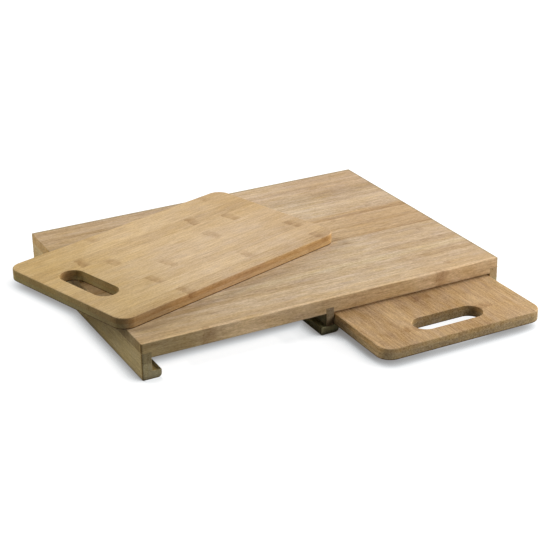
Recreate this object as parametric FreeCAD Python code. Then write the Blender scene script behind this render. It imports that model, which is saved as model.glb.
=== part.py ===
import FreeCAD, Part
import math
import os

# A bamboo chopping block that stores two thinner boards in bays under its top panel.
#
# The frame: X runs left to right, Y runs front to back, Z is up. The origin is on the table,
# under the middle of the block. Everything is in millimetres.
#
# The block is glued joinery. The top panel has a rabbet along each side and a housing down the
# middle of its underside. A spacer strip sits in each rabbet, and the L-shaped runner under it is
# wall, foot and ledge in one. A divider sits in the housing and stands on a flat runner, which
# is a ledge on both sides. Each bay is open at the front and closed by a stop strip at the back.
#
# The two boards are alike: a plate with round corners and a hand slot at its front end. The right
# one is drawn part of the way out of its bay. The left one lies loose and turned on the top panel.

# The block
LENGTH = 380.0
DEPTH = 291.0
PANEL_THICKNESS = 15.0
PANEL_EDGE_ROUND = 1.2
BLOCK_CORNER_RADIUS = 2.0

# What is glued under the panel
WALL_THICKNESS = 9.5
DIVIDER_THICKNESS = 8.0
STOP_THICKNESS = 10.5
HOUSING_DEPTH = 5.5
BAY_HEIGHT = 13.0

# The runners that carry the boards
LEDGE_THICKNESS = 8.0
SIDE_LEDGE_WIDTH = 9.0
CENTRE_LEDGE_WIDTH = 5.5
RUNNER_WALL_HEIGHT = 16.0
TOE_RADIUS = 4.0
LEDGE_ARRIS = 0.8

# The room that a board has in its bay
SIDE_PLAY = 1.0
ROOM_ABOVE = 2.0
ROOM_BEHIND = 0.5

# The boards
BOARD_CORNER_RADIUS = 14.0
BOARD_EDGE_ROUND = 1.5
HAND_SLOT_LENGTH = 74.0
HAND_SLOT_WIDTH = 25.0
HAND_SLOT_MARGIN = 18.5

# Where the boards are
RIGHT_BOARD_DRAWN_OUT = 88.5
LEFT_BOARD_X = -86.7
LEFT_BOARD_Y = 9.4
LEFT_BOARD_TURN = -72.5  # degrees about Z, from the way that it lies in its bay

# Sizes and places that follow
LEFT = -LENGTH / 2
RIGHT = LENGTH / 2
FRONT = -DEPTH / 2
BACK = DEPTH / 2
UNDERSIDE = LEDGE_THICKNESS + BAY_HEIGHT
HOUSING_TOP = UNDERSIDE + HOUSING_DEPTH
PANEL_TOP = UNDERSIDE + PANEL_THICKNESS
BAY_WIDTH = (LENGTH - 2 * WALL_THICKNESS - DIVIDER_THICKNESS) / 2
BAY_DEPTH = DEPTH - STOP_THICKNESS
BAY_MIDDLE = (DIVIDER_THICKNESS + BAY_WIDTH) / 2
BOARD_WIDTH = BAY_WIDTH - 2 * SIDE_PLAY
BOARD_LENGTH = BAY_DEPTH - ROOM_BEHIND
BOARD_THICKNESS = BAY_HEIGHT - ROOM_ABOVE

UP = FreeCAD.Vector(0, 0, 1)
ORIGIN = FreeCAD.Vector(0, 0, 0)


def strip(x_span, y_span, z_span):
    """A square-edged strip that fills three spans."""
    sizes = [span[1] - span[0] for span in (x_span, y_span, z_span)]
    return Part.makeBox(*sizes, FreeCAD.Vector(x_span[0], y_span[0], z_span[0]))


def upright_edges(shape):
    """The straight edges of a shape that run along Z."""
    return [edge for edge in shape.Edges if abs(edge.tangentAt(edge.FirstParameter).z) > 0.999]


def rim_edges(shape, height):
    """The edges of a shape that lie in the level plane at a height."""
    near = 1e-6
    return [edge for edge in shape.Edges
            if abs(edge.BoundBox.ZMin - height) < near and abs(edge.BoundBox.ZMax - height) < near]


def plate(width, length, z_span, corner_radius):
    """A level plate about the Z axis with rounded upright corners."""
    blank = strip((-width / 2, width / 2), (-length / 2, length / 2), z_span)
    return blank.makeFillet(corner_radius, upright_edges(blank))


def rounded_corner(before, corner, after, radius):
    """The arc that rounds one corner of a profile, with its two ends."""
    towards_before = (before - corner).normalize()
    towards_after = (after - corner).normalize()
    half_angle = towards_before.getAngle(towards_after) / 2
    setback = radius / math.tan(half_angle)
    start = corner + towards_before * setback
    end = corner + towards_after * setback
    inwards = (towards_before + towards_after).normalize()
    middle = corner + inwards * (radius / math.sin(half_angle) - radius)
    return start, end, Part.Arc(start, middle, end).toShape()


def moulding(profile, y_span):
    """Carry an (x, z, radius) profile along Y; a corner of radius 0 stays sharp."""
    corners = [FreeCAD.Vector(x, y_span[0], z) for x, z, radius in profile]
    pieces = []
    for index, (x, z, radius) in enumerate(profile):
        corner = corners[index]
        if radius > 0:
            after = corners[(index + 1) % len(corners)]
            pieces.append(rounded_corner(corners[index - 1], corner, after, radius))
        else:
            pieces.append((corner, corner, None))
    edges = []
    for index, (start, end, arc) in enumerate(pieces):
        edges.append(Part.LineSegment(pieces[index - 1][1], start).toShape())
        if arc is not None:
            edges.append(arc)
    face = Part.Face(Part.Wire(edges))
    return face.extrude(FreeCAD.Vector(0, y_span[1] - y_span[0], 0))


def flush_with_block(shape):
    """Trim a piece to the outline of the block, so that its corners round with the panel's."""
    envelope = plate(LENGTH, DEPTH, (0, PANEL_TOP), BLOCK_CORNER_RADIUS)
    return shape.common(envelope).removeSplitter()


def mirrored(shape):
    """The right-hand copy of a left-hand piece."""
    return shape.mirror(ORIGIN, FreeCAD.Vector(1, 0, 0))


def left_rabbet():
    """The space along the panel's left underside that the left spacer fills."""
    return strip((LEFT, LEFT + WALL_THICKNESS), (FRONT, BACK), (UNDERSIDE, HOUSING_TOP))


def centre_housing():
    """The space down the middle of the panel's underside that the divider fills."""
    half = DIVIDER_THICKNESS / 2
    return strip((-half, half), (FRONT, BACK), (UNDERSIDE, HOUSING_TOP))


def top_panel():
    """The chopping surface: rounded along its top edges, with its rabbets and housing cut below."""
    panel = plate(LENGTH, DEPTH, (UNDERSIDE, PANEL_TOP), BLOCK_CORNER_RADIUS)
    panel = panel.makeFillet(PANEL_EDGE_ROUND, rim_edges(panel, PANEL_TOP))
    for recess in (left_rabbet(), mirrored(left_rabbet()), centre_housing()):
        panel = panel.cut(recess)
    return panel.removeSplitter()


def left_spacer():
    """The strip between the left runner and the top of its rabbet."""
    x_span = (LEFT, LEFT + WALL_THICKNESS)
    return flush_with_block(strip(x_span, (FRONT, BACK), (RUNNER_WALL_HEIGHT, HOUSING_TOP)))


def left_runner():
    """The L-shaped moulding that is the left wall's lower part, its foot and its ledge."""
    wall_face = LEFT + WALL_THICKNESS
    toe = wall_face + SIDE_LEDGE_WIDTH
    toe_radius = min(TOE_RADIUS, 0.5 * LEDGE_THICKNESS)
    profile = [
        (LEFT, 0, 0),
        (toe, 0, toe_radius),
        (toe, LEDGE_THICKNESS, LEDGE_ARRIS),
        (wall_face, LEDGE_THICKNESS, 0),
        (wall_face, RUNNER_WALL_HEIGHT, 0),
        (LEFT, RUNNER_WALL_HEIGHT, 0),
    ]
    return flush_with_block(moulding(profile, (FRONT, BACK)))


def centre_divider():
    """The upright strip between the bays, from the centre runner to the top of its housing."""
    half = DIVIDER_THICKNESS / 2
    return strip((-half, half), (FRONT, BACK), (LEDGE_THICKNESS, HOUSING_TOP))


def centre_runner():
    """The flat moulding under the divider, a ledge for the board on each side."""
    toe = DIVIDER_THICKNESS / 2 + CENTRE_LEDGE_WIDTH
    toe_radius = min(TOE_RADIUS, 0.5 * LEDGE_THICKNESS)
    profile = [
        (-toe, 0, toe_radius),
        (toe, 0, toe_radius),
        (toe, LEDGE_THICKNESS, LEDGE_ARRIS),
        (-toe, LEDGE_THICKNESS, LEDGE_ARRIS),
    ]
    return moulding(profile, (FRONT, BACK))


def left_back_stop():
    """The strip that closes the back of the left bay, between wall and divider, on the ledges."""
    x_span = (LEFT + WALL_THICKNESS, -DIVIDER_THICKNESS / 2)
    return strip(x_span, (BACK - STOP_THICKNESS, BACK), (LEDGE_THICKNESS, UNDERSIDE))


def hand_slot():
    """The cutter for the hand slot, round at both ends, through a board at its front end."""
    radius = HAND_SLOT_WIDTH / 2
    reach = HAND_SLOT_LENGTH / 2 - radius
    middle_y = -BOARD_LENGTH / 2 + HAND_SLOT_MARGIN + radius
    cutter = strip((-reach, reach), (middle_y - radius, middle_y + radius), (0, BOARD_THICKNESS))
    for x in (-reach, reach):
        cutter = cutter.fuse(Part.makeCylinder(radius, BOARD_THICKNESS, FreeCAD.Vector(x, middle_y, 0)))
    return cutter.removeSplitter()


def slide_in_board():
    """One board about the Z axis, its underside on z = 0 and its hand slot at the front."""
    board = plate(BOARD_WIDTH, BOARD_LENGTH, (0, BOARD_THICKNESS), BOARD_CORNER_RADIUS)
    board = board.cut(hand_slot())
    edge_round = min(BOARD_EDGE_ROUND, 0.4 * BOARD_THICKNESS)
    rims = rim_edges(board, 0) + rim_edges(board, BOARD_THICKNESS)
    return board.makeFillet(edge_round, rims)


def right_board():
    """The board in the right bay, lying on its ledges and drawn out to the front."""
    middle_y = FRONT - RIGHT_BOARD_DRAWN_OUT + BOARD_LENGTH / 2
    return slide_in_board().translated(FreeCAD.Vector(BAY_MIDDLE, middle_y, LEDGE_THICKNESS))


def left_board():
    """The board of the left bay, lying turned on the top panel."""
    turned = slide_in_board().rotated(ORIGIN, UP, LEFT_BOARD_TURN)
    return turned.translated(FreeCAD.Vector(LEFT_BOARD_X, LEFT_BOARD_Y, PANEL_TOP))


def pieces():
    """Every piece under its own name."""
    return {
        "top_panel": top_panel(),
        "left_spacer": left_spacer(),
        "left_runner": left_runner(),
        "left_back_stop": left_back_stop(),
        "right_spacer": mirrored(left_spacer()),
        "right_runner": mirrored(left_runner()),
        "right_back_stop": mirrored(left_back_stop()),
        "centre_divider": centre_divider(),
        "centre_runner": centre_runner(),
        "right_board": right_board(),
        "left_board": left_board(),
    }


def main():
    os.makedirs("parts", exist_ok=True)
    for name, shape in pieces().items():
        shape.exportStep("parts/" + name + ".step")


main()
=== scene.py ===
import math
from functools import reduce

import bpy
import numpy as np
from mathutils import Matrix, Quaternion, Vector


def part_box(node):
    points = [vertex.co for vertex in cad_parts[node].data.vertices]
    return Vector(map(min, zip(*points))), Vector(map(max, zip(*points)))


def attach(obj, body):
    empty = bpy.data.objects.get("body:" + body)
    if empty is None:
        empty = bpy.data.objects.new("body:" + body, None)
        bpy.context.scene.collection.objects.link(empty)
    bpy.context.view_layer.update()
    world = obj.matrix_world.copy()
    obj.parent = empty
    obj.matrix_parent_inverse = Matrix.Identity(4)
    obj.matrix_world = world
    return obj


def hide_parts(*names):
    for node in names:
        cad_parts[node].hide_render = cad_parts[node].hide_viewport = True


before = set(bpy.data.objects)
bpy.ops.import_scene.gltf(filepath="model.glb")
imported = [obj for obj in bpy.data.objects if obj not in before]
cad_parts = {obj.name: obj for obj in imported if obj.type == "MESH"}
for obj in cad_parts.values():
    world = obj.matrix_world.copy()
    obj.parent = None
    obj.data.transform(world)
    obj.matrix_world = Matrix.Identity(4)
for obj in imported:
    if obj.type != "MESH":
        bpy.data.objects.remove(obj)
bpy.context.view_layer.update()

# A bamboo chopping block with two slide-in boards. Every piece of its joinery is skinned here at
# the size that the frame gives, with the eased edges and the glue lines of the real one, and
# then finished in bamboo whose strips, fibres, knuckles and end grain follow the piece's grain.
# Everything is in metres.

MM = 0.001

# Eased edges
PANEL_EDGE_ROUND = 0.8 * MM
BLOCK_CORNER_ROUND = 2.0 * MM
TOE_ROUND = 4.0 * MM
LEDGE_ARRIS = 0.8 * MM
SAWN_ARRIS = 0.4 * MM
GLUED_ARRIS = 0.12 * MM
BOARD_EDGE_ROUND = 1.1 * MM
BOARD_UNDER_ROUND = 0.6 * MM
SLOT_EDGE_ROUND = 0.5 * MM
BOARD_CORNER_RADIUS = 14.0 * MM

# The hand slot
HAND_SLOT_LENGTH = 74.0 * MM
HAND_SLOT_WIDTH = 25.0 * MM
HAND_SLOT_MARGIN = 18.5 * MM

# How finely the skins are drawn
CORNER_STEPS = 6
END_STEPS = 6
HOLD = 0.12 * MM  # a hair of flat beside each round, which keeps the shading of the flats flat
SMALLEST_ROUND = 0.02 * MM
BOARD_ARC_STEPS = 16
BOARD_SIDE_STEPS = 90

# Where the left board lies, turned on the panel
LEFT_BOARD_TURN = 17.5  # degrees from X to the way from its hand slot to its far end
RIGHT_BOARD_TURN = 90.0


# ---------------------------------------------------------------- places, read from the frame

PANEL_LOW, PANEL_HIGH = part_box("top_panel")
SPACER_LOW, SPACER_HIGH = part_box("left_spacer")
RUNNER_LOW, RUNNER_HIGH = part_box("left_runner")
STOP_LOW, STOP_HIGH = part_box("left_back_stop")
DIVIDER_LOW, DIVIDER_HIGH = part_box("centre_divider")
CENTRE_RUNNER_LOW, CENTRE_RUNNER_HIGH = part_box("centre_runner")
RIGHT_BOARD_LOW, RIGHT_BOARD_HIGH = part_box("right_board")
LEFT_BOARD_LOW, LEFT_BOARD_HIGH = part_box("left_board")

WALL_FACE = SPACER_HIGH.x
LEDGE_TOP = CENTRE_RUNNER_HIGH.z
RIGHT_BOARD_SIZE = RIGHT_BOARD_HIGH - RIGHT_BOARD_LOW
BOARD_WIDTH, BOARD_LENGTH, BOARD_THICKNESS = RIGHT_BOARD_SIZE
RIGHT_BOARD_MIDDLE = (RIGHT_BOARD_LOW + RIGHT_BOARD_HIGH) / 2
LEFT_BOARD_MIDDLE = (LEFT_BOARD_LOW + LEFT_BOARD_HIGH) / 2


# ---------------------------------------------------------------- the camera and the studio

FOCAL_LENGTH = 94.92  # this and the sensor's width are in millimetres, as Blender has them
SENSOR_WIDTH = 36.0
FAR_CLIP = 50.0
# Angles are in degrees. A bearing goes from X round towards Y.
CAMERA_BEARING = -117.241
CAMERA_ELEVATION = 24.363
CAMERA_ROLL = -1.08
CAMERA_TARGET = Vector((16.684, -2.237, 0.0)) * MM
CAMERA_DISTANCE = 1481.97 * MM
LAMP_TARGET = Vector((0.0, -30.0, 20.0)) * MM
# The bearing, elevation, distance, size and watts of each soft box: one low at the right, one
# behind at the left, and a small one near the front
LAMPS = {
    "right_box": (0, 22, 2.5, 1.0, 74.0),
    "left_back_box": (135, 30, 1.6, 0.7, 13.0),
    "front_box": (-56, 26, 0.80, 0.3, 2.5),
}


def direction(bearing, elevation):
    """The way to a place seen from the block: (cos b cos e, sin b cos e, sin e)."""
    bearing = math.radians(bearing)
    elevation = math.radians(elevation)
    level = math.cos(elevation)
    return Vector((math.cos(bearing) * level, math.sin(bearing) * level, math.sin(elevation)))


def aim(thing, towards):
    """Turn a camera or a lamp so that it looks along a direction, with its top upwards."""
    thing.rotation_mode = "QUATERNION"
    thing.rotation_quaternion = towards.to_track_quat("-Z", "Y")


def make_camera():
    """A long lens to the front left of the block and above it, tipped a degree."""
    back = direction(CAMERA_BEARING, CAMERA_ELEVATION)
    data = bpy.data.cameras.new("camera")
    data.lens = FOCAL_LENGTH
    data.sensor_width = SENSOR_WIDTH
    data.clip_end = FAR_CLIP
    camera = bpy.data.objects.new("camera", data)
    bpy.context.collection.objects.link(camera)
    camera.location = CAMERA_TARGET + back * CAMERA_DISTANCE
    aim(camera, -back)
    camera.rotation_quaternion @= Quaternion((0, 0, 1), math.radians(CAMERA_ROLL))
    bpy.context.scene.camera = camera


def make_lamps():
    """White, square soft boxes, aimed at the block."""
    for name, (bearing, elevation, distance, size, watts) in LAMPS.items():
        data = bpy.data.lights.new(name, "AREA")
        data.shape = "SQUARE"
        data.size = size
        data.energy = watts
        lamp = bpy.data.objects.new(name, data)
        bpy.context.collection.objects.link(lamp)
        lamp.location = direction(bearing, elevation) * distance
        aim(lamp, LAMP_TARGET - lamp.location)


# ---------------------------------------------------------------- node trees

def add(tree, kind, inputs=None, **settings):
    """Add a shader node, set its settings, and link or set its inputs by name or number."""
    node = tree.nodes.new("ShaderNode" + kind)
    for setting, value in settings.items():
        setattr(node, setting, value)
    for socket, value in (inputs or {}).items():
        if isinstance(value, bpy.types.NodeSocket):
            tree.links.new(value, node.inputs[socket])
        else:
            node.inputs[socket].default_value = value
    return node


def calc(tree, operation, *values):
    """One step of arithmetic on sockets or numbers."""
    return add(tree, "Math", dict(enumerate(values)), operation=operation).outputs[0]


def product(tree, *values):
    """Several sockets or numbers multiplied together."""
    return reduce(lambda first, second: calc(tree, "MULTIPLY", first, second), values)


def from_middle(tree, value, middle):
    """How far a value is from a middle one, to either side."""
    return calc(tree, "ABSOLUTE", calc(tree, "SUBTRACT", value, middle))


def ease(tree, value, low, high, at_low=0.0, at_high=1.0):
    """A smooth step from at_low to at_high as a value goes from low to high."""
    inputs = {"Value": value, 1: low, 2: high, 3: at_low, 4: at_high}
    return add(tree, "MapRange", inputs, interpolation_type="SMOOTHSTEP").outputs[0]


def blend(tree, share, first, second, mode="MIX"):
    """Mix two colours."""
    inputs = {0: share, 6: first, 7: second}
    return add(tree, "Mix", inputs, data_type="RGBA", blend_type=mode).outputs[2]


def ramp(tree, value, stops, steps="LINEAR"):
    """The colour and the alpha of a ramp with (place, colour) stops."""
    node = add(tree, "ValToRGB", {0: value})
    ramp_stops = node.color_ramp.elements
    node.color_ramp.interpolation = steps
    while len(ramp_stops) < len(stops):
        ramp_stops.new(1.0)
    for stop, (place, colour) in zip(ramp_stops, stops):
        stop.position = place
        stop.color = colour
    return node.outputs


def srgb(red, green, blue):
    """A colour written as it looks on a screen, 0 to 255, as linear light."""
    shares = np.array((red, green, blue)) / 255.0
    linear = np.where(shares > 0.04045, ((shares + 0.055) / 1.055) ** 2.4, shares / 12.92)
    return (*(float(share) for share in linear), 1.0)


def new_material(name):
    """An empty material with its output node."""
    material = bpy.data.materials.new(name)
    material.use_nodes = True
    material.node_tree.nodes.clear()
    return material, material.node_tree, add(material.node_tree, "OutputMaterial")


# ---------------------------------------------------------------- the stage

FLOOR_SIZE = 12.0
FLOOR_GAP = 0.05 * MM  # the floor lies this far under the wood, so that no faces coincide
FLOOR_GREY = 0.80
BLOCK_SHADE_REACH = 22 * MM  # how near to the block the floor darkens for the camera
BOARD_SHADE_REACH = 18 * MM  # the same near the right board
# How light the floor is for the camera, by how open it lies
SHADE = [
    (0.00, (0.12, 0.11, 0.10, 1)),
    (0.40, (0.25, 0.24, 0.23, 1)),
    (0.53, (0.325, 0.325, 0.325, 1)),
    (0.61, (0.455, 0.46, 0.465, 1)),
    (0.68, (0.59, 0.605, 0.615, 1)),
    (0.76, (0.765, 0.78, 0.79, 1)),
    (0.83, (0.89, 0.90, 0.905, 1)),
    (0.93, (1.00, 1.00, 1.00, 1)),
]
FLOOR_LIFT = 0.94  # what the camera sees of the floor where no light reaches it
FLOOR_GAIN = 0.30  # and of the light on it
# Where the floor stays light, under the right board's slot, beside the left toe and in front of
# the left foot: middle, and half of the size, in X and Y, and how light
POOLS = [
    (Vector((110, -182)) * MM, Vector((38, 10)) * MM, 1.0),
    (Vector((-156, -142)) * MM, Vector((15, 22)) * MM, 1.0),
    (Vector((-178, -160)) * MM, Vector((9, 15)) * MM, 0.77),
]
POOL_FADE = 6 * MM
# Where it is dark: beside the foot of the centre runner, deep in the open bay, and under the
# handle of the left board, where the fades are given along that board and across it
RUNNER_SHADE = (Vector((-29, -134)) * MM, Vector((15, 16)) * MM)
RUNNER_SHADE_FADE = 8 * MM
RUNNER_DARKNESS = 0.08
BAY_SHADE = (Vector((-88, 0)) * MM, Vector((84, 145)) * MM)
BAY_SHADE_FADE = 4 * MM
BAY_FADE_IN = (PANEL_LOW.y + 7 * MM, PANEL_LOW.y + 45 * MM)
BAY_DARKNESS = 0.53
HANDLE_ALONG = ((18 * MM, 50 * MM), (90 * MM, 60 * MM))
HANDLE_ACROSS = ((255 * MM, 205 * MM), (60 * MM, 110 * MM))
HANDLE_DARKNESS = 0.55
# Past the first X or the first Y the floor lies in front of the right board or at its right,
# where it darkens less, and all of it past the second ones
FRONT_X = (16 * MM, 28 * MM)
FRONT_Y = (-198 * MM, -226 * MM)
FRONT_GAIN = 0.58
FRONT_LIFT = 0.41
# It is a little lighter at the left of the right board
BOARD_SIDE_X = (-16 * MM, -4 * MM)
BOARD_SIDE_Y = (-138 * MM, -150 * MM)
BOARD_SIDE_LIFT = 0.10


def within(tree, where, patch, fade):
    """How far inside a patch of the floor a place lies: 1 in its half size, 0 past the fade."""
    middle, half_size = patch
    return product(tree, *(ease(tree, from_middle(tree, where[axis], middle[axis]),
                                half_size[axis] + fade, half_size[axis]) for axis in (0, 1)))


def openness(tree, where):
    """How open the floor lies, from 0 to 1.

    It is the ambient occlusion within a reach, so it falls close to the wood: most beside the
    block, a little less beside the right board, and least in front of that board and at its
    right. It is raised to each pool's level, and is 1 - darkness at most in the bay and under
    the handle.
    """
    in_front = calc(tree, "MAXIMUM", ease(tree, where[0], *FRONT_X),
                    ease(tree, where[1], *FRONT_Y))
    reach = calc(tree, "MULTIPLY_ADD", in_front, BOARD_SHADE_REACH - BLOCK_SHADE_REACH,
                 BLOCK_SHADE_REACH)
    near = add(tree, "AmbientOcclusion", {"Distance": reach}).outputs["AO"]
    beside = product(tree, ease(tree, where[0], *BOARD_SIDE_X),
                     ease(tree, where[1], *BOARD_SIDE_Y))
    beside = calc(tree, "MULTIPLY_ADD", beside, BOARD_SIDE_LIFT, near)
    before = calc(tree, "MULTIPLY_ADD", near, FRONT_GAIN, FRONT_LIFT)
    open_share = calc(tree, "MULTIPLY_ADD", in_front, calc(tree, "SUBTRACT", before, beside),
                      beside)
    open_share = calc(tree, "MULTIPLY_ADD", within(tree, where, RUNNER_SHADE, RUNNER_SHADE_FADE),
                      -RUNNER_DARKNESS, open_share)
    for *patch, level in POOLS:
        light = product(tree, within(tree, where, patch, POOL_FADE), level)
        open_share = calc(tree, "MAXIMUM", open_share, light)
    in_bay = product(tree, within(tree, where, BAY_SHADE, BAY_SHADE_FADE),
                     ease(tree, where[1], *BAY_FADE_IN), BAY_DARKNESS)
    corner = board_corner(LEFT_BOARD_MIDDLE, LEFT_BOARD_TURN, 0)
    along, across = grain_axes(tree, corner, LEFT_BOARD_TURN)[:2]
    under_handle = product(tree, *(ease(tree, along, *fade) for fade in HANDLE_ALONG),
                           *(ease(tree, across, *fade) for fade in HANDLE_ACROSS),
                           HANDLE_DARKNESS)
    covered = calc(tree, "MAXIMUM", in_bay, under_handle)
    return calc(tree, "MINIMUM", open_share, calc(tree, "SUBTRACT", 1.0, covered))


def make_floor():
    """A white floor that keeps the shadows close to the block."""
    half, low = FLOOR_SIZE / 2, -FLOOR_GAP
    mesh = bpy.data.meshes.new("floor")
    mesh.from_pydata([(-half, -half, low), (half, -half, low), (half, half, low),
                      (-half, half, low)], [], [(0, 1, 2, 3)])
    floor = bpy.data.objects.new("floor", mesh)
    bpy.context.collection.objects.link(floor)
    material, tree, output = new_material("white_floor")
    where = add(tree, "SeparateXYZ", {0: add(tree, "TexCoord").outputs["Object"]}).outputs
    shade = ramp(tree, openness(tree, where), SHADE)[0]
    gain = (FLOOR_GAIN, FLOOR_GAIN, FLOOR_GAIN, 1)
    bright = add(tree, "BsdfDiffuse", {"Color": blend(tree, 1.0, shade, gain, "MULTIPLY")})
    lift = add(tree, "Emission", {"Color": shade, "Strength": FLOOR_LIFT})
    seen_floor = add(tree, "AddShader", {0: bright.outputs[0], 1: lift.outputs[0]})
    matt = add(tree, "BsdfDiffuse", {"Color": (FLOOR_GREY, FLOOR_GREY, FLOOR_GREY, 1)})
    seen = add(tree, "LightPath").outputs["Is Camera Ray"]
    either = add(tree, "MixShader", {0: seen, 1: matt.outputs[0], 2: seen_floor.outputs[0]})
    tree.links.new(either.outputs[0], output.inputs["Surface"])
    mesh.materials.append(material)


SKY_FILL = (0.92, 0.97, 1.0, 1)
SKY_STRENGTH = 0.05


def make_world():
    """A pale fill from all round, which the camera sees as plain white."""
    world = bpy.data.worlds.new("studio")
    bpy.context.scene.world = world
    world.use_nodes = True
    tree = world.node_tree
    tree.nodes.clear()
    path = add(tree, "LightPath").outputs
    seen = calc(tree, "MAXIMUM", path["Is Camera Ray"], path["Is Transmission Ray"])
    seen = calc(tree, "MAXIMUM", seen, path["Is Glossy Ray"])
    fill = add(tree, "Background", {"Color": SKY_FILL, "Strength": SKY_STRENGTH})
    white = add(tree, "Background", {"Color": (1, 1, 1, 1), "Strength": 1.0})
    mixed = add(tree, "MixShader", {0: seen, 1: fill.outputs[0], 2: white.outputs[0]})
    output = add(tree, "OutputWorld")
    tree.links.new(mixed.outputs[0], output.inputs["Surface"])


# ---------------------------------------------------------------- skins

def build(name, points, faces, body, nodes, material, slot):
    """Make a smooth-shaded piece from points and faces, and let it stand for its CAD nodes."""
    mesh = bpy.data.meshes.new(name)
    mesh.from_pydata(points.tolist(), [], faces)
    mesh.polygons.foreach_set("use_smooth", np.ones(len(mesh.polygons), bool))
    mesh.materials.append(material)
    mesh.update()
    piece = bpy.data.objects.new(name, mesh)
    bpy.context.collection.objects.link(piece)
    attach(piece, body)
    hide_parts(*nodes)
    return piece


def unit(vectors):
    """Vectors of length one."""
    return vectors / np.linalg.norm(vectors, axis=-1, keepdims=True)


def eased_outline(corners, radii):
    """Round the corners of closed outlines, given anticlockwise as (ring, corner, 2) arrays.

    Each corner becomes an arc between its tangent points, which lie radius x tan(turn / 2)
    before and after it: centre = tangent point - r n, point = centre + r n(f), where n turns
    from one edge's outward normal to the next as f goes from 0 to 1, and r is negative where
    the outline turns inwards. A point HOLD before each arc and one HOLD after it lie on the
    straight edges. The result has CORNER_STEPS + 3 points for each corner.
    """
    towards = unit(corners - np.roll(corners, 1, axis=1))
    away = unit(np.roll(corners, -1, axis=1) - corners)
    cross = towards[..., 0] * away[..., 1] - towards[..., 1] * away[..., 0]
    turn = np.arctan2(cross, (towards * away).sum(-1))
    start = corners - towards * (radii * np.abs(np.tan(turn / 2)))[..., None]
    heading = np.arctan2(-towards[..., 0], towards[..., 1])
    share = np.linspace(0, 1, CORNER_STEPS + 1)
    angle = heading[..., None] + turn[..., None] * share
    outwards = np.stack([np.cos(angle), np.sin(angle)], -1)
    bend = (radii * np.sign(turn))[..., None, None]
    arc = start[..., None, :] - bend * outwards[..., :1, :] + bend * outwards
    before = arc[..., :1, :] - towards[..., None, :] * HOLD
    after = arc[..., -1:, :] + away[..., None, :] * HOLD
    rounded = np.concatenate([before, arc, after], axis=2)
    return rounded.reshape(len(corners), -1, 2)


def carried(profile, near, far):
    """Carry an (x, z, corner radius, end round) profile along Y, with rounded ends.

    The end round belongs to the edge that starts at the corner. At an angle a of the end
    round, each edge lies moved in by round x (1 - cos a), at a distance round x (1 - sin a)
    from the end, and each corner's radius is less by the smaller move of its two edges. Flat
    caps close the ends. Returns the points and the faces, which look outwards.
    """
    profile = np.array(profile)
    corners, radii, end_rounds = profile[:, :2], profile[:, 2], profile[:, 3]
    angle = np.linspace(math.pi / 2, 0, END_STEPS + 1)
    moved_in = np.concatenate([[1], 1 - np.cos(angle), [0]])
    set_back = np.concatenate([[0], 1 - np.sin(angle), [1]])
    shrink = np.minimum(end_rounds, np.roll(end_rounds, 1)) * moved_in[:, None]
    cap_hold = np.concatenate([[HOLD], np.zeros(END_STEPS + 2)])
    side_hold = cap_hold[::-1]
    along = unit(np.roll(corners, -1, axis=0) - corners)
    normals = np.stack([along[:, 1], -along[:, 0]], -1)
    shift = (end_rounds * moved_in[:, None] + cap_hold[:, None])[..., None] * normals
    rings = corners - shift - np.roll(shift, 1, axis=1)
    outline = eased_outline(rings, np.maximum(radii - shrink, 0) + SMALLEST_ROUND)
    share = np.concatenate([[0], np.linspace(0, 1, CORNER_STEPS + 1), [1]])
    rounds = np.roll(end_rounds, 1)[:, None] * (1 - share) + end_rounds[:, None] * share
    depth = rounds.ravel() * set_back[:, None] + side_hold[:, None]
    near_end = np.stack([outline[..., 0], near + depth, outline[..., 1]], -1)
    far_end = np.stack([outline[..., 0], far - depth, outline[..., 1]], -1)[::-1]
    points = np.concatenate([near_end, far_end])
    ring_count, ring_size = points.shape[:2]
    index = np.arange(ring_count * ring_size).reshape(ring_count, ring_size)
    around = np.roll(index, -1, axis=1)
    quads = np.stack([index[:-1], index[1:], around[1:], around[:-1]], -1).reshape(-1, 4)
    faces = quads.tolist() + [index[0].tolist(), index[-1][::-1].tolist()]
    return points.reshape(-1, 3), faces


def mirrored(points, faces):
    """The right-hand copy of a left-hand skin."""
    return points * (-1, 1, 1), [face[::-1] for face in faces]


def turned_to_x(points, faces):
    """Turn a skin that runs along Y so that it runs along X, and its x becomes -Y."""
    return np.stack([points[:, 1], -points[:, 0], points[:, 2]], -1), faces


def panel_skin():
    """The top panel: rounded above, with a rabbet at each side and a housing down the middle."""
    left, right, wall = PANEL_LOW.x, PANEL_HIGH.x, WALL_FACE
    half = DIVIDER_HIGH.x
    top, under, seat = PANEL_HIGH.z, PANEL_LOW.z, SPACER_HIGH.z
    profile = [
        (left, seat, GLUED_ARRIS, GLUED_ARRIS),
        (wall, seat, GLUED_ARRIS, GLUED_ARRIS),
        (wall, under, GLUED_ARRIS, SAWN_ARRIS),
        (-half, under, GLUED_ARRIS, GLUED_ARRIS),
        (-half, seat, GLUED_ARRIS, GLUED_ARRIS),
        (half, seat, GLUED_ARRIS, GLUED_ARRIS),
        (half, under, GLUED_ARRIS, SAWN_ARRIS),
        (-wall, under, GLUED_ARRIS, GLUED_ARRIS),
        (-wall, seat, GLUED_ARRIS, GLUED_ARRIS),
        (right, seat, GLUED_ARRIS, BLOCK_CORNER_ROUND),
        (right, top, PANEL_EDGE_ROUND, PANEL_EDGE_ROUND),
        (left, top, PANEL_EDGE_ROUND, BLOCK_CORNER_ROUND),
    ]
    return carried(profile, PANEL_LOW.y, PANEL_HIGH.y)


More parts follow.
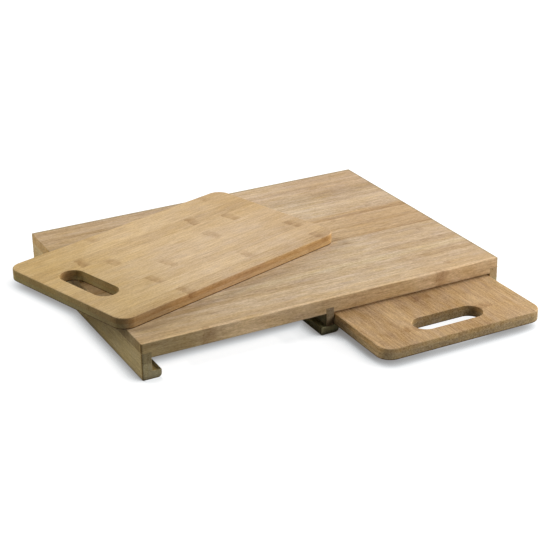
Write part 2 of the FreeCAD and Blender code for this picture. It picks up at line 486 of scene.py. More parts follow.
def spacer_skin():
    """The left spacer, which fills the rabbet and stands on the runner."""
    low, high = SPACER_LOW, SPACER_HIGH
    profile = [
        (low.x, low.z, GLUED_ARRIS, GLUED_ARRIS),
        (high.x, low.z, GLUED_ARRIS, SAWN_ARRIS),
        (high.x, high.z, GLUED_ARRIS, GLUED_ARRIS),
        (low.x, high.z, GLUED_ARRIS, BLOCK_CORNER_ROUND),
    ]
    return carried(profile, low.y, high.y)


def runner_skin():
    """The left runner: wall, foot and ledge in one, with a rounded toe."""
    low, high = RUNNER_LOW, RUNNER_HIGH
    profile = [
        (low.x, low.z, SAWN_ARRIS, SAWN_ARRIS),
        (high.x, low.z, TOE_ROUND, SAWN_ARRIS),
        (high.x, LEDGE_TOP, LEDGE_ARRIS, SAWN_ARRIS),
        (WALL_FACE, LEDGE_TOP, SAWN_ARRIS, SAWN_ARRIS),
        (WALL_FACE, high.z, GLUED_ARRIS, GLUED_ARRIS),
        (low.x, high.z, GLUED_ARRIS, BLOCK_CORNER_ROUND),
    ]
    return carried(profile, low.y, high.y)


def divider_skin():
    """The divider, standing in the housing."""
    low, high = DIVIDER_LOW, DIVIDER_HIGH
    profile = [
        (low.x, low.z, GLUED_ARRIS, GLUED_ARRIS),
        (high.x, low.z, GLUED_ARRIS, SAWN_ARRIS),
        (high.x, high.z, GLUED_ARRIS, GLUED_ARRIS),
        (low.x, high.z, GLUED_ARRIS, SAWN_ARRIS),
    ]
    return carried(profile, low.y, high.y)


def centre_runner_skin():
    """The flat runner under the divider, with a rounded toe at the right and a crisp one."""
    low, high = CENTRE_RUNNER_LOW, CENTRE_RUNNER_HIGH
    profile = [
        (low.x, low.z, LEDGE_ARRIS, SAWN_ARRIS),
        (high.x, low.z, TOE_ROUND, SAWN_ARRIS),
        (high.x, high.z, LEDGE_ARRIS, SAWN_ARRIS),
        (low.x, high.z, LEDGE_ARRIS, SAWN_ARRIS),
    ]
    return carried(profile, low.y, high.y)


def back_stop_skin():
    """The left back stop, which runs along X between the wall and the divider."""
    low, high = STOP_LOW, STOP_HIGH
    profile = [
        (-high.y, low.z, SAWN_ARRIS, GLUED_ARRIS),
        (-low.y, low.z, SAWN_ARRIS, GLUED_ARRIS),
        (-low.y, high.z, SAWN_ARRIS, GLUED_ARRIS),
        (-high.y, high.z, SAWN_ARRIS, GLUED_ARRIS),
    ]
    return turned_to_x(*carried(profile, low.x, high.x))


def round_rectangle(width, length, radius):
    """Points and outward normals round a rectangle with arcs at its corners, anticlockwise.

    Arc points are corner centre + radius x (cos a, sin a), a quarter turn for each corner, and
    BOARD_SIDE_STEPS divides the straight way from each arc to the next.
    """
    reach = np.array([width / 2 - radius, length / 2 - radius])
    centres = reach * np.array([(1, 1), (-1, 1), (-1, -1), (1, -1)])
    angle = np.linspace(0, math.pi / 2, BOARD_ARC_STEPS + 1) + np.arange(4)[:, None] * math.pi / 2
    normals = np.stack([np.cos(angle), np.sin(angle)], -1)
    arcs = centres[:, None] + radius * normals
    share = (np.arange(1, BOARD_SIDE_STEPS) / BOARD_SIDE_STEPS)[None, :, None]
    sides = arcs[:, -1:] * (1 - share) + np.roll(arcs[:, :1], -1, axis=0) * share
    side_normals = np.broadcast_to(normals[:, -1:], sides.shape)
    points = np.concatenate([arcs, sides], axis=1).reshape(-1, 2)
    return points, np.concatenate([normals, side_normals], axis=1).reshape(-1, 2)


def slot_facing(outline, middle):
    """Points and outward normals on the hand slot, one on the ray to each point of an outline.

    The slot is two half circles of radius r about (+-c, 0) joined by straight sides. A ray of
    direction d meets a side at x = r dx / |dy|, and past the side's end it meets the half
    circle at the distance t = c |dx| + sqrt((c dx)^2 - (c^2 - r^2)).
    """
    radius = HAND_SLOT_WIDTH / 2
    reach = HAND_SLOT_LENGTH / 2 - radius
    ray = unit(outline - middle)
    rise = np.maximum(np.abs(ray[:, 1]), 1e-9)
    on_side = radius * np.abs(ray[:, 0]) / rise <= reach
    run = reach * np.abs(ray[:, 0])
    under_root = np.maximum(run ** 2 - (reach ** 2 - radius ** 2), 0)
    distance = np.where(on_side, radius / rise, run + np.sqrt(under_root))
    points = ray * distance[:, None]
    centre = np.stack([np.clip(points[:, 0], -reach, reach), np.zeros(len(points))], -1)
    return middle + points, unit(points - centre)


def board_skin(turn, middle, underside):
    """A board with a hand slot, as one closed surface like a ring.

    One parameter goes round the board. The other goes round the section between the slot and
    the rim: over the top, down the rim, back under and up the slot's wall, with a quarter
    round at each of its four edges. A section point lies at (1 - w) (slot + a m) +
    w (rim - b n), where m and n are the normals of the slot and of the rim.
    """
    rim, rim_normal = round_rectangle(BOARD_WIDTH, BOARD_LENGTH, BOARD_CORNER_RADIUS)
    slot_middle = np.array([0, -BOARD_LENGTH / 2 + HAND_SLOT_MARGIN + HAND_SLOT_WIDTH / 2])
    slot, slot_normal = slot_facing(rim, slot_middle)
    angle = np.linspace(0, math.pi / 2, CORNER_STEPS + 1)
    unit_inset = 1 - np.sin(angle)
    unit_drop = 1 - np.cos(angle)
    none = np.zeros(CORNER_STEPS + 1)
    full = np.ones(CORNER_STEPS + 1)
    slot_hold = [SLOT_EDGE_ROUND + HOLD]
    middle_height = BOARD_THICKNESS / 2

    def flat_and_rim(radius):
        # From the slot's edge over the flat to the rim, and down its round to the rim's middle
        share = np.concatenate([[0], [1], full, [1]])
        from_slot = np.concatenate([slot_hold, [0], none, [0]])
        from_rim = np.concatenate([[0], [radius + HOLD], radius * unit_inset, [0]])
        drop = np.concatenate([[0], [0], radius * unit_drop, [radius + HOLD]])
        return [share, from_slot, from_rim, middle_height - drop]

    upper = flat_and_rim(BOARD_EDGE_ROUND)
    lower = [row[::-1] for row in flat_and_rim(BOARD_UNDER_ROUND)]
    lower[3] = -lower[3]
    # From the slot's bottom edge up its round and its wall to its top edge
    share = np.concatenate([none, [0]])
    from_slot = np.concatenate([SLOT_EDGE_ROUND * unit_inset, [0]])
    from_rim = np.zeros(CORNER_STEPS + 2)
    height = np.concatenate([SLOT_EDGE_ROUND * unit_drop, slot_hold])
    slot_lower = [share, from_slot, from_rim, height - middle_height]
    slot_upper = [row[::-1] for row in slot_lower[:3]] + [middle_height - height[::-1]]
    parts = (upper, lower, slot_lower, slot_upper)
    share, from_slot, from_rim, height = (np.concatenate(row) for row in zip(*parts))
    slot_side = slot[:, None] + slot_normal[:, None] * from_slot[None, :, None]
    rim_side = rim[:, None] - rim_normal[:, None] * from_rim[None, :, None]
    flat = slot_side * (1 - share)[None, :, None] + rim_side * share[None, :, None]
    # The board's own Y runs from its hand slot to its far end
    heading = math.radians(turn - 90)
    across = flat[..., 0] * math.cos(heading) - flat[..., 1] * math.sin(heading)
    along = flat[..., 0] * math.sin(heading) + flat[..., 1] * math.cos(heading)
    up = np.broadcast_to(underside + middle_height + height, across.shape)
    points = np.stack([middle.x + across, middle.y + along, up], -1)
    rows, columns = points.shape[:2]
    index = np.arange(rows * columns).reshape(rows, columns)
    next_row = np.roll(index, -1, axis=0)
    corners = [index, np.roll(index, -1, axis=1), np.roll(next_row, -1, axis=1), next_row]
    return points.reshape(-1, 3), np.stack(corners, -1).reshape(-1, 4).tolist()


# ---------------------------------------------------------------- bamboo

# The middle colour of each wood on its face, on its long sides and on its ends, and its contrast
WOODS = {
    "panel": (srgb(206, 180, 146), srgb(199, 172, 136), srgb(157, 137, 99), 1.0),
    "left_board": (srgb(218, 188, 150), srgb(174, 137, 95), srgb(168, 150, 110), 0.82),
    "right_board": (srgb(181, 148, 107), srgb(187, 156, 110), srgb(148, 125, 90), 1.4),
    "spacer": (srgb(177, 155, 108), srgb(177, 155, 108), srgb(135, 120, 87), 1.0),
    "runner": (srgb(181, 159, 108), srgb(179, 157, 108), srgb(157, 143, 107), 1.0),
}
# The darkest fibre keeps these shares of the middle colour's red, green and blue, and the
# lightest one adds as much as the darkest one takes away
DARK_FIBRE = Vector((0.66, 0.59, 0.50))
FIBRE_RANGE = (Vector((1, 1, 1)) - DARK_FIBRE) * 2
HUE_RANGE = Vector((-0.05, 0.025, 0.36))  # from straw to pink
TONE_RANGE = 0.26  # how far apart the darkest and the lightest strips are
KNUCKLE_TINT = (0.62, 0.53, 0.45, 1)
BUNDLE_TINT = (0.60, 0.52, 0.44, 1)
GLUE_TINT = (0.60, 0.53, 0.46, 1)
GLUE_STRENGTH = 0.5
BUNDLE_ON_FACE = 0.14
BUNDLE_ON_END = 0.60
SPECULAR = 0.12
ROUGHNESS = 0.60
ROUGHNESS_RANGE = 0.20
BUNDLE_RELIEF = -0.5
RELIEF_STRENGTH = 0.30
RELIEF_DEPTH = 0.06 * MM
FACING = (0.30, 0.90)  # a face turns into a side or an end between these

# The waves of each kind of fibre along and across the grain, by the metre, and its detail
FIBRES = {
    "fine": (420.0, 1300.0, 2.0),
    "streak": (60.0, 600.0, 2.0),
    "broad": (20.0, 330.0, 2.0),
    "drift": (6.0, 24.0, 1.0),
    "hue": (40.0, 100.0, 1.0),
    "blotch": (110.0, 170.0, 2.0),
    "rag": (0.0, 330.0, 1.0),
}
FIBRE_ROUGHNESS = 0.55
FIBRE_LEVELS = {"fine": 1.25, "streak": 1.05, "broad": 0.55, "drift": 0.40}
BUNDLES = (16.0, 1150.0)
BUNDLE_EDGE = (0.42, 0.12)
FIBRE_SHIFT = 40.0  # how far apart the fibres of two strips may be taken from

# Knuckles: how far along a strip, in metres, one may be, how far on the next one is by chance, as
# shares of that, how one is slanted and ragged, and its scar, ring and stain, the last two by
# shares of the knuckle's length
KNUCKLE_REACH = 0.38
KNUCKLE_GAP = 0.5
KNUCKLE_GAP_RANGE = 0.2
KNUCKLE_SLANT = 0.30
KNUCKLE_RAG = 5 * MM
CHANCE_KNUCKLE = 0.7  # how strongly one shows that is there by chance
SCAR_FADE = (1.2 * MM, 0.2 * MM)
SCAR_STRENGTH = 0.42
RING_PLACE = 0.85
RING_FADE = (0.20, 0.02)
RING_STRENGTH = 0.16
STAIN_START = (-0.35, 0.30)
STAIN_END = (1.30, 0.30)
STAIN_STRENGTH = 0.72
PATCHES = (-0.20, 0.20, 0.30, 1.20)  # where the fibres run dark, a knuckle shows more

PANEL_STRIP_COUNT = 45
PANEL_STRIP = (PANEL_HIGH.y - PANEL_LOW.y) / PANEL_STRIP_COUNT
BOARD_STRIP = 20.3 * MM
GLUE_LINE = 0.25 * MM
BURIED = 0.5 * MM  # strips and plies start this far outside a face, and none ends at one


def grain_axes(tree, place, turn):
    """The coordinates along the grain, across the strips and through the thickness.

    They start at a place in the frame and are turned about Z with the grain. The other two
    outputs tell how far a surface faces along the grain and across it, from 0 to 1.
    """
    where = add(tree, "TexCoord").outputs
    turned = (0, 0, math.radians(turn))
    local = add(tree, "Mapping", {0: where["Object"], 1: place, 2: turned}, vector_type="TEXTURE")
    facing = add(tree, "Mapping", {0: where["Normal"], 2: turned}, vector_type="TEXTURE")
    facing = add(tree, "VectorMath", {0: facing.outputs[0]}, operation="ABSOLUTE")
    ends, sides, _ = add(tree, "SeparateXYZ", {0: facing.outputs[0]}).outputs
    return (*add(tree, "SeparateXYZ", {0: local.outputs[0]}).outputs, ends, sides)


def knuckle_mark(tree, line_at, place, length, patches):
    """A knuckle: a thin scar across the strip, a stain that fades away from it and a faint ring."""
    scar = ease(tree, from_middle(tree, line_at, place), *SCAR_FADE, 0.0, SCAR_STRENGTH)
    share = calc(tree, "DIVIDE", calc(tree, "SUBTRACT", line_at, place), length)
    stain = product(tree, ease(tree, share, *STAIN_START), ease(tree, share, *STAIN_END))
    ring = ease(tree, from_middle(tree, share, RING_PLACE), *RING_FADE, 0.0, RING_STRENGTH)
    mark = calc(tree, "MULTIPLY_ADD", stain, STAIN_STRENGTH, calc(tree, "ADD", scar, ring))
    return product(tree, mark, patches)


def strip_traits(tree, strip_number, ply_number, seed, shown_share, known):
    """Each strip's tone, its two knuckles' places, how strongly they show, and two chances.

    Chance gives them to each strip of each ply, and shown_share of the strips show knuckles.
    The known strips of the upper ply take theirs from the list instead, where strip n is the
    one at the share (n + 1.5) / count.
    """
    cell = add(tree, "CombineXYZ", {0: strip_number, 1: ply_number, 2: seed}).outputs[0]
    chance = add(tree, "TexWhiteNoise", {"Vector": cell}, noise_dimensions="3D").outputs
    tone, first, other = add(tree, "SeparateColor", {0: chance["Color"]}).outputs
    shown = ease(tree, other, 1.0 - shown_share, 1.02 - shown_share, 0.0, CHANCE_KNUCKLE)
    second = calc(tree, "MULTIPLY_ADD", other, KNUCKLE_GAP_RANGE,
                  calc(tree, "ADD", first, KNUCKLE_GAP))
    if known:
        count = len(known)
        stops = [(number / count, values) for number, values in enumerate(known)]
        place_in_list = calc(tree, "DIVIDE", calc(tree, "ADD", strip_number, 1.5), count)
        listed, listed_strength = ramp(tree, place_in_list, stops, "CONSTANT")
        guessed = add(tree, "CombineColor", {0: tone, 1: first, 2: second}).outputs[0]
        is_known = product(tree, calc(tree, "LESS_THAN", strip_number, count - 1.5),
                           calc(tree, "MINIMUM", ply_number, 1.0))
        chosen = blend(tree, is_known, guessed, listed)
        tone, first, second = add(tree, "SeparateColor", {0: chosen}).outputs
        shown = calc(tree, "MAXIMUM", calc(tree, "SUBTRACT", shown, is_known),
                     product(tree, listed_strength, is_known))
    return tone, first, second, shown, other, chance["Value"]


def fibre_fields(tree, along, across, through, own_place):
    """Noise drawn out along the grain, for each kind of fibre, and the bundles of fibres.

    A field is noise at (a x along + p, b x across + p, b x through), less its middle value,
    where a and b are the kind's waves and p is the strip's own place.
    """
    def fibre_space(along_waves, across_waves):
        return add(tree, "CombineXYZ", {
            0: calc(tree, "MULTIPLY_ADD", along, along_waves, own_place),
            1: calc(tree, "MULTIPLY_ADD", across, across_waves, own_place),
            2: product(tree, through, across_waves)}).outputs[0]

    fields = {}
    for kind, (along_waves, across_waves, detail) in FIBRES.items():
        noise = add(tree, "TexNoise", {
            "Vector": fibre_space(along_waves, across_waves), "Scale": 1.0, "Detail": detail,
            "Roughness": FIBRE_ROUGHNESS})
        fields[kind] = calc(tree, "SUBTRACT", noise.outputs["Fac"], 0.5)
    bundles = add(tree, "TexVoronoi", {"Vector": fibre_space(*BUNDLES), "Scale": 1.0})
    return fields, ease(tree, bundles.outputs["Distance"], *BUNDLE_EDGE)


def banded_colour(tree, wood, axes, side_grain, end_grain, bands):
    """A wood's middle colour, by the way that the surface faces, and the bands in it.

    A band multiplies the colour by its tint where the surface is one of its kind and its axis
    is within half_width of middle, and eases off over fade.
    """
    face_colour, side_colour, end_colour, _ = WOODS[wood]
    colour = blend(tree, side_grain, face_colour, side_colour)
    colour = blend(tree, end_grain, colour, end_colour)
    rim = calc(tree, "MAXIMUM", side_grain, end_grain)
    surfaces = {"sides": side_grain, "ends": end_grain, "rim": rim,
                "tops": calc(tree, "SUBTRACT", 1.0, rim)}
    for surface, axis, middle, half_width, fade, tint in bands:
        reach = from_middle(tree, axes[axis], middle)
        share = ease(tree, reach, half_width + fade, half_width)
        if surface in surfaces:
            share = product(tree, share, surfaces[surface])
        colour = blend(tree, share, colour, tint, "MULTIPLY")
    return colour


def bamboo(name, wood, place, turn, strip, first_strip, ply, knuckles, known=(), bands=(),
           seed=0.0):
    """Pressed bamboo: strips side by side with their fibres, knuckles, glue lines and end grain.

    knuckles is the share of the strips that show theirs, and the length of one on the face and
    on the side. known lists tone, first knuckle and second knuckle, from 0 to 1, and how strongly
    they show, for the first strips of the upper ply, from the one before first_strip, and the
    others take theirs by chance. bands lists the surfaces, axis, middle, half width, fade and
    tint of the stretches where the wood changes colour or where light and shade are painted on it.
    """
    material, tree, output = new_material(name)
    along, across, through, ends, sides = grain_axes(tree, place, turn)
    end_grain = ease(tree, ends, *FACING)
    side_grain = ease(tree, sides, *FACING)
    row = calc(tree, "DIVIDE", calc(tree, "SUBTRACT", across, first_strip), strip)
    ply_row = calc(tree, "DIVIDE", through, ply)
    shown_share, face_length, side_length = knuckles
    tone, first, second, shown, other, chance = strip_traits(
        tree, calc(tree, "FLOOR", row), calc(tree, "FLOOR", ply_row), seed, shown_share, known)
    own_place = product(tree, chance, FIBRE_SHIFT)
    fibres, bundle = fibre_fields(tree, along, across, through, own_place)
    axes = {"along": along, "across": across, "through": through}
    colour = banded_colour(tree, wood, axes, side_grain, end_grain, bands)

    # Strips and fibres, darker and lighter, and from straw to pink
    contrast = WOODS[wood][3]
    tone_range = TONE_RANGE * contrast
    level = calc(tree, "MULTIPLY_ADD", tone, tone_range, 0.5 - tone_range / 2)
    for kind, share in FIBRE_LEVELS.items():
        level = calc(tree, "MULTIPLY_ADD", fibres[kind], share * contrast, level)
    figure = add(tree, "VectorMath", {0: level, 1: FIBRE_RANGE, 2: DARK_FIBRE},
                 operation="MULTIPLY_ADD").outputs[0]
    figure = add(tree, "VectorMath", {0: fibres["hue"], 1: HUE_RANGE * contrast, 2: figure},
                 operation="MULTIPLY_ADD").outputs[0]
    colour = blend(tree, 1.0, colour, figure, "MULTIPLY")

    # Bundles: streaks on the faces and dots on the ends
    bundle_share = product(tree, bundle, ease(tree, ends, *FACING, BUNDLE_ON_FACE, BUNDLE_ON_END))
    colour = blend(tree, bundle_share, colour, BUNDLE_TINT, "MULTIPLY")

    # Knuckles cross the strip, a little slanted and ragged
    slant = product(tree, calc(tree, "SUBTRACT", other, 0.5), KNUCKLE_SLANT)
    slant = product(tree, calc(tree, "FRACT", row), strip, slant)
    ragged = calc(tree, "MULTIPLY_ADD", fibres["rag"], KNUCKLE_RAG, slant)
    line_at = calc(tree, "ADD", along, ragged)
    patches = ease(tree, calc(tree, "ADD", fibres["streak"], fibres["blotch"]), *PATCHES)
    length = calc(tree, "MULTIPLY_ADD", side_grain, side_length - face_length, face_length)
    marks = [knuckle_mark(tree, line_at, product(tree, at, KNUCKLE_REACH), length, patches)
             for at in (first, second)]
    mark = product(tree, calc(tree, "MAXIMUM", *marks), shown,
                   calc(tree, "SUBTRACT", 1.0, end_grain))
    colour = blend(tree, mark, colour, KNUCKLE_TINT, "MULTIPLY")

    # Glue lines between strips and between plies
    to_strip_edge = product(tree, calc(tree, "PINGPONG", row, 0.5), strip)
    to_ply_edge = product(tree, calc(tree, "PINGPONG", ply_row, 0.5), ply)
    nearest = calc(tree, "MINIMUM", to_strip_edge, to_ply_edge)
    glue = ease(tree, nearest, GLUE_LINE, 0.0, 0.0, GLUE_STRENGTH)
    colour = blend(tree, glue, colour, GLUE_TINT, "MULTIPLY")

    # Fibres stand up a little, and bundles and glue lines lie lower
    relief = calc(tree, "ADD", fibres["fine"], fibres["streak"])
    relief = calc(tree, "MULTIPLY_ADD", bundle, BUNDLE_RELIEF, relief)
    relief = calc(tree, "SUBTRACT", relief, glue)
    bump = add(tree, "Bump", {"Height": relief, "Strength": RELIEF_STRENGTH,
                              "Distance": RELIEF_DEPTH})
    roughness = calc(tree, "MULTIPLY_ADD", fibres["fine"], ROUGHNESS_RANGE, ROUGHNESS)
    surface = add(tree, "BsdfPrincipled", {
        "Base Color": colour, "Roughness": roughness, "Specular IOR Level": SPECULAR,
        "Normal": bump.outputs[0]})
    tree.links.new(surface.outputs[0], output.inputs["Surface"])
    return material


def board_corner(middle, turn, underside):
    """The corner of a board at its hand slot's end from which its strips are counted."""
    heading = math.radians(turn)
    along = Vector((math.cos(heading), math.sin(heading), 0))
    across = Vector((-math.sin(heading), math.cos(heading), 0))
    corner = middle - along * BOARD_LENGTH / 2 - across * BOARD_WIDTH / 2
    return Vector((corner.x, corner.y, underside - BURIED))


# Tone, first knuckle, second knuckle and their strength in each strip, from the front edge of
# the left board and from the right edge of the right one
LEFT_BOARD_STRIPS = [
    (0.00, 0.21, 0.68, 0.9),
    (0.65, 0.46, 0.99, 0.8),
    (0.35, 0.20, 0.69, 0.9),
    (0.70, 0.29, 0.99, 0.7),
    (1.00, 0.49, 0.99, 0.8),
    (0.75, 0.194, 0.61, 0.9),
    (0.25, 0.132, 0.51, 1.0),
    (1.00, 0.99, 0.99, 0.6),
    (0.60, 0.25, 0.65, 0.6),
]
RIGHT_BOARD_STRIPS = [
    (0.55, 0.99, 0.70, 0.8),
    (0.55, 0.99, 0.60, 0.8),
    (0.60, 0.086, 0.66, 1.0),
    (0.35, 0.99, 0.55, 0.8),
    (0.25, 0.20, 0.72, 1.0),
    (0.55, 0.99, 0.64, 0.8),
    (0.90, 0.054, 0.58, 1.0),
    (0.45, 0.99, 0.75, 0.8),
    (0.70, 0.99, 0.62, 0.8),
]
LEFT_BOARD_FIRST_STRIP = 17.3 * MM
RIGHT_BOARD_FIRST_STRIP = 15.2 * MM
PLY_MIDDLE = BOARD_THICKNESS / 4 + BURIED  # how high the middle of the lower ply is
# Where each wood changes colour, and where light and shade are painted on it, as bands with
# their surfaces, axis, middle, half width, fade and tint
AMBER_TINT = (0.91, 0.84, 0.73, 1)
STRAW_TINT = (0.95, 0.925, 0.74, 1)
CORNER_TINT = (0.62, 0.54, 0.42, 1)
# Painted shade: both boards darker on the underside and along the lower arris
PAINTED_ARRIS_SHADE = ("all", "through", BURIED + 0.4 * MM, 0.5 * MM, 0.4 * MM, (0.42, 0.35, 0.27, 1))
FAR_EDGE_TINT = (0.76, 0.79, 0.76, 1)
LEFT_BOARD_BANDS = [
    ("all", "along", 0.0, 20 * MM, 120 * MM, STRAW_TINT),
    ("all", "along", BOARD_LENGTH, 15 * MM, 40 * MM, (0.95, 0.92, 0.86, 1)),
    ("all", "across", BOARD_WIDTH, 70 * MM, 12 * MM, (0.99, 0.965, 0.88, 1)),
    ("rim", "through", PLY_MIDDLE, 1.8 * MM, 2.0 * MM, (1.04, 1.09, 1.18, 1)),
    ("sides", "through", 7.5 * MM, 0.8 * MM, 1.6 * MM, (0.95, 0.92, 0.88, 1)),
    # Painted shade and painted light: the long sides darker and less orange towards the hand slot's
    # end (this band) and lighter towards the far end (the next)
    ("sides", "along", 0.0, 45 * MM, 25 * MM, (0.83, 0.87, 1.0, 1)),
    ("sides", "along", BOARD_LENGTH, 50 * MM, 80 * MM, (1.16, 1.21, 1.12, 1)),
    # Painted shade: the hand slot's end darker towards the front long side
    ("ends", "across", 0.0, 25 * MM, 40 * MM, (0.80, 0.74, 0.74, 1)),
    ("ends", "through", 9.0 * MM, 2.0 * MM, 2.5 * MM, (1.04, 0.96, 0.91, 1)),
    ("all", "along", 130 * MM, 35 * MM, 50 * MM, (1.06, 1.07, 1.06, 1)),
    ("tops", "across", 0.0, 3 * MM, 6 * MM, (0.97, 0.95, 0.92, 1)),
    # Painted shadow: a dark line at the foot of the left board's long sides, where it lies on the
    # panel
    ("sides", "through", BURIED + 0.1 * MM, 0.5 * MM, 0.3 * MM, (0.32, 0.28, 0.22, 1)),
    PAINTED_ARRIS_SHADE,
]
RIGHT_BOARD_BANDS = [
    ("rim", "through", PLY_MIDDLE, 1.8 * MM, 2.0 * MM, (0.91, 0.93, 0.95, 1)),
    ("rim", "through", 3 * PLY_MIDDLE, 1.0 * MM, 2.0 * MM, (1.07, 1.0, 0.89, 1)),
    ("ends", "across", BOARD_WIDTH / 2, BOARD_WIDTH, 1 * MM, (0.98, 1.0, 1.02, 1)),
    ("tops", "along", 0.0, 5 * MM, 6 * MM, (0.955, 0.965, 0.99, 1)),
    # Painted highlight along the top's left edge
    ("tops", "across", BOARD_WIDTH, 3 * MM, 3 * MM, (1.10, 1.11, 1.13, 1)),
    # Painted highlight along the top's right edge, broader
    ("tops", "across", 0.0, 4 * MM, 9 * MM, (1.08, 1.12, 1.10, 1)),
    PAINTED_ARRIS_SHADE,
]
PANEL_BANDS = [
    ("all", "across", 147.5 * MM, 29 * MM, 5 * MM, AMBER_TINT),
    ("all", "across", 0.0, 14 * MM, 6 * MM, (0.94, 0.90, 0.82, 1)),
    # Painted highlight along the rounded front edge of the top
    ("all", "across", 2.0 * MM, 1.4 * MM, 0.6 * MM, (1.20, 1.21, 1.21, 1)),
    ("all", "across", 290.3 * MM, 2.6 * MM, 1.4 * MM, FAR_EDGE_TINT),
    ("all", "along", 379.8 * MM, 1.8 * MM, 0.9 * MM, FAR_EDGE_TINT),
    ("all", "across", 41.5 * MM, 3.0 * MM, 2.0 * MM, (0.90, 0.87, 0.82, 1)),
    ("all", "across", 57.5 * MM, 2.5 * MM, 5.0 * MM, (1.06, 1.10, 1.10, 1)),
    ("all", "across", 117.0 * MM, 0.6 * MM, 1.2 * MM, (0.86, 0.82, 0.76, 1)),
    ("all", "across", 141.0 * MM, 0.6 * MM, 1.5 * MM, (0.90, 0.87, 0.82, 1)),
    ("all", "across", 169.5 * MM, 1.5 * MM, 2.5 * MM, (0.92, 0.89, 0.85, 1)),
    ("tops", "across", 180.0 * MM, 30 * MM, 18 * MM, (1.07, 1.08, 1.10, 1)),
    ("all", "across", 238.0 * MM, 4.0 * MM, 4.0 * MM, (0.93, 0.92, 0.90, 1)),
    ("all", "across", 285.0 * MM, 30.0 * MM, 30.0 * MM, (1.05, 1.02, 1.00, 1)),
    # Painted shade: the panel darker towards its left end
    ("all", "along", 0.0, 20 * MM, 90 * MM, (0.92, 0.89, 0.80, 1)),
    ("all", "along", 250 * MM, 25 * MM, 40 * MM, (1.03, 1.04, 1.06, 1)),
    ("all", "along", 340 * MM, 25 * MM, 40 * MM, (0.965, 0.94, 0.925, 1)),
    # Painted shade: the front and back faces darker towards the left end
    ("sides", "along", 0.0, 20 * MM, 95 * MM, (0.64, 0.68, 0.65, 1)),
    ("sides", "along", 225 * MM, 40 * MM, 30 * MM, (0.94, 0.92, 0.88, 1)),
    # Painted light: the front and back faces lighter towards the right end
    ("sides", "along", 315 * MM, 15 * MM, 30 * MM, (1.12, 1.15, 1.20, 1)),
    ("sides", "through", 21.5 * MM, 0.5 * MM, 1.0 * MM, (0.80, 0.82, 0.86, 1)),
    ("ends", "across", 1.2 * MM, 0.5 * MM, 0.5 * MM, CORNER_TINT),
    # Painted light: the end faces lighter towards the back
    ("ends", "across", BOARD_LENGTH, 60 * MM, 50 * MM, (1.80, 1.66, 1.50, 1)),
    ("sides", "along", 98 * MM, 20 * MM, 30 * MM, (1.10, 1.11, 1.14, 1)),
]
# Across the spacers and the runners goes from the block's left side towards the left, so the
# block's middle and its right side lie at these places
IN_MIDDLE = PANEL_LOW.x
AT_RIGHT = PANEL_LOW.x - PANEL_HIGH.x
SPACER_BANDS = [
    # Painted light: the right spacer's ends lighter than the left one's
    ("ends", "across", AT_RIGHT, 10 * MM, 5 * MM, (1.40, 1.26, 1.28, 1)),
    ("ends", "across", IN_MIDDLE, 10 * MM, 5 * MM, (1.05, 0.99, 1.15, 1)),
    # Painted shade: the divider's sides darker and less yellow
    ("sides", "across", IN_MIDDLE, 5 * MM, 2 * MM, (0.64, 0.76, 0.90, 1)),
    ("sides", "along", 1.2 * MM, 0.5 * MM, 0.5 * MM, CORNER_TINT),
    ("ends", "through", BURIED + 9 * MM, 2 * MM, 6 * MM, (0.70, 0.66, 0.62, 1)),
    # Painted light: the outer sides lighter towards the back
    ("sides", "along", 290 * MM, 40 * MM, 50 * MM, (1.22, 1.14, 1.10, 1)),
    ("sides", "across", AT_RIGHT, 4 * MM, 2 * MM, (0.84, 0.86, 1.05, 1)),
]
RUNNER_BANDS = [
    ("ends", "across", IN_MIDDLE, 10 * MM, 2 * MM, (1.32, 1.48, 1.54, 1)),
    # Painted shade: the centre runner's tops and sides darker and less yellow
    ("tops", "across", IN_MIDDLE, 14 * MM, 1 * MM, (0.58, 0.72, 0.86, 1)),
    ("sides", "across", IN_MIDDLE, 14 * MM, 1 * MM, (0.58, 0.72, 0.86, 1)),
    # Painted shade: the left runner's ledge top dark near its toe
    ("tops", "across", -18.5 * MM, 3.5 * MM, 2.5 * MM, (0.42, 0.43, 0.42, 1)),
    # Painted light: the outer sides lighter towards the back
    ("sides", "along", 290 * MM, 40 * MM, 50 * MM, (1.22, 1.14, 1.10, 1)),
    ("sides", "across", AT_RIGHT, 4 * MM, 2 * MM, (0.84, 0.86, 1.05, 1)),
    # Painted shade: the runners darker towards the floor
    ("rim", "through", BURIED + 1.5 * MM, 1.2 * MM, 1.2 * MM, (0.84, 0.84, 0.86, 1)),
    ("sides", "along", 1.2 * MM, 0.5 * MM, 0.5 * MM, CORNER_TINT),
    # Painted shade: a darker line at the runners' bottom edge
    ("rim", "through", BURIED + 0.3 * MM, 0.6 * MM, 0.6 * MM, (0.60, 0.55, 0.50, 1)),
    ("ends", "across", -15 * MM, 4 * MM, 3 * MM, (1.06, 1.11, 1.22, 1)),
]


# The strip before the front one is outside the panel
PANEL_STRIPS = [(0.50, 0.99, 0.99, 0.0), (0.50, 0.159, 0.811, 1.0)]
PANEL_PLY = 20 * MM  # ends under the panel, which is one ply thick
RUNNER_STRIP = 9.5 * MM
RUNNER_FIRST_STRIP = 4 * MM
STOP_STRIP = 5.25 * MM
# The share of strips that show knuckles, and the length of one on the face and on the side
PANEL_KNUCKLES = (0.10, 6 * MM, 13 * MM)
RUNNER_KNUCKLES = (0.50, 7 * MM, 10 * MM)
BOARD_KNUCKLES = (1.0, 9 * MM, 8 * MM)
WHOLE = 1.0  # as thick as a ply can be, for wood that isn't laid up in plies


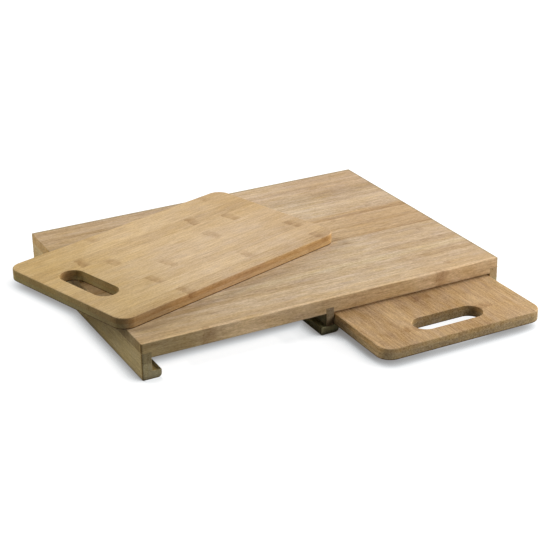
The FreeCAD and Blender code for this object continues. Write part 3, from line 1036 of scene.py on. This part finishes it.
def make_block():
    """The panel and everything glued under it."""
    corner = Vector((PANEL_LOW.x, PANEL_LOW.y, -BURIED))
    panel_bamboo = bamboo("panel_bamboo", "panel", corner, 0, PANEL_STRIP, -BURIED, PANEL_PLY,
                          PANEL_KNUCKLES, PANEL_STRIPS, PANEL_BANDS)
    spacer_bamboo = bamboo("spacer_bamboo", "spacer", corner, 90, RUNNER_STRIP,
                           RUNNER_FIRST_STRIP, WHOLE, RUNNER_KNUCKLES, bands=SPACER_BANDS,
                           seed=3.0)
    runner_bamboo = bamboo("runner_bamboo", "runner", corner, 90, RUNNER_STRIP,
                           RUNNER_FIRST_STRIP, WHOLE, RUNNER_KNUCKLES, bands=RUNNER_BANDS,
                           seed=4.0)
    stop_bamboo = bamboo("stop_bamboo", "runner", corner, 0, STOP_STRIP, BURIED, WHOLE,
                         RUNNER_KNUCKLES, seed=5.0)
    build("panel_skin", *panel_skin(), "block", ["top_panel"], panel_bamboo, "panel_bamboo")
    paired = {
        "spacer": (spacer_skin(), spacer_bamboo),
        "runner": (runner_skin(), runner_bamboo),
        "back_stop": (back_stop_skin(), stop_bamboo),
    }
    for part, (skin, material) in paired.items():
        build(f"left_{part}_skin", *skin, "block", [f"left_{part}"], material, "runner_bamboo")
        build(f"right_{part}_skin", *mirrored(*skin), "block", [f"right_{part}"], material,
              "runner_bamboo")
    build("centre_divider_skin", *divider_skin(), "block", ["centre_divider"], spacer_bamboo,
          "runner_bamboo")
    build("centre_runner_skin", *centre_runner_skin(), "block", ["centre_runner"],
          runner_bamboo, "runner_bamboo")


def make_board(side, turn, middle, underside, first_strip, strips, bands):
    """One of the two boards."""
    corner = board_corner(middle, turn, underside)
    ply = BOARD_THICKNESS / 2 + BURIED
    material = bamboo(f"{side}_board_bamboo", f"{side}_board", corner, turn, BOARD_STRIP,
                      first_strip, ply, BOARD_KNUCKLES, strips, bands)
    skin = board_skin(turn, middle, underside)
    build(f"{side}_board_skin", *skin, f"{side}_board", [f"{side}_board"], material,
          "board_bamboo")


def main():
    bpy.context.scene.view_settings.view_transform = "Standard"
    make_camera()
    make_world()
    make_lamps()
    make_floor()
    make_block()
    make_board("right", RIGHT_BOARD_TURN, RIGHT_BOARD_MIDDLE, RIGHT_BOARD_LOW.z,
               RIGHT_BOARD_FIRST_STRIP, RIGHT_BOARD_STRIPS, RIGHT_BOARD_BANDS)
    make_board("left", LEFT_BOARD_TURN, LEFT_BOARD_MIDDLE, LEFT_BOARD_LOW.z,
               LEFT_BOARD_FIRST_STRIP, LEFT_BOARD_STRIPS, LEFT_BOARD_BANDS)


main()
